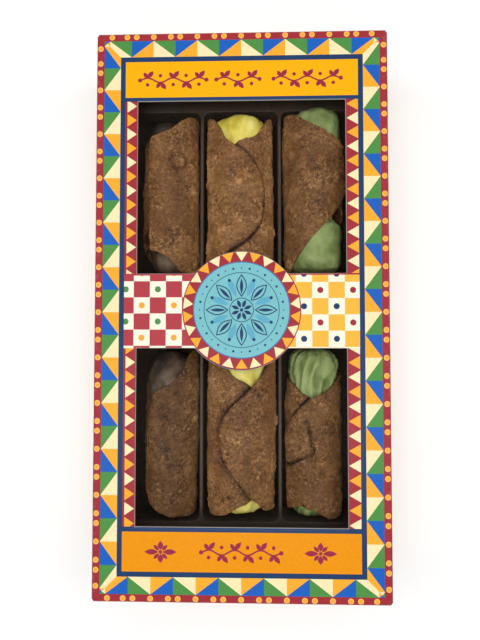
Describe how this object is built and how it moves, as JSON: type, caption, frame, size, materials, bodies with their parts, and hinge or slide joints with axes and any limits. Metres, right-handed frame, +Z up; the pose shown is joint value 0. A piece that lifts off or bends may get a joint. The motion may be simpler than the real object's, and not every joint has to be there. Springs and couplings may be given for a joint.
{
  "type": "window carton of cannoli",
  "caption": "Shut flat printed carton with two film windows over a dark moulded tray of filled fried pastry tubes in two rows.",
  "frame": {"origin": "middle of the carton's underside", "axes": "+Z up through the windows, +Y along the carton towards the end with the smooth pistachio filling, +X across it towards the pistachio column"},
  "size_m": [0.135, 0.261, 0.04],
  "materials": {
    "printed_board": "gloss varnished print",
    "clear_film": "clear film",
    "dark_tray": "thermoformed gloss",
    "fried_pastry": "blistered fried crust",
    "chocolate_cream": "smooth cream",
    "lemon_cream": "smooth cream",
    "pistachio_cream": "piped cream"
  },
  "bodies": {
    "root": {"carton": "printed_board", "window_film": "clear_film", "tray": "dark_tray", "shell_chocolate_1": "fried_pastry", "filling_chocolate_1": "chocolate_cream", "shell_lemon_1": "fried_pastry", "filling_lemon_1": "lemon_cream", "shell_pistachio_1": "fried_pastry", "filling_pistachio_1": "pistachio_cream", "shell_chocolate_2": "fried_pastry", "filling_chocolate_2": "chocolate_cream", "shell_lemon_2": "fried_pastry", "filling_lemon_2": "lemon_cream", "shell_pistachio_2": "fried_pastry", "filling_pistachio_2": "pistachio_cream"}
  },
  "joints": []
}
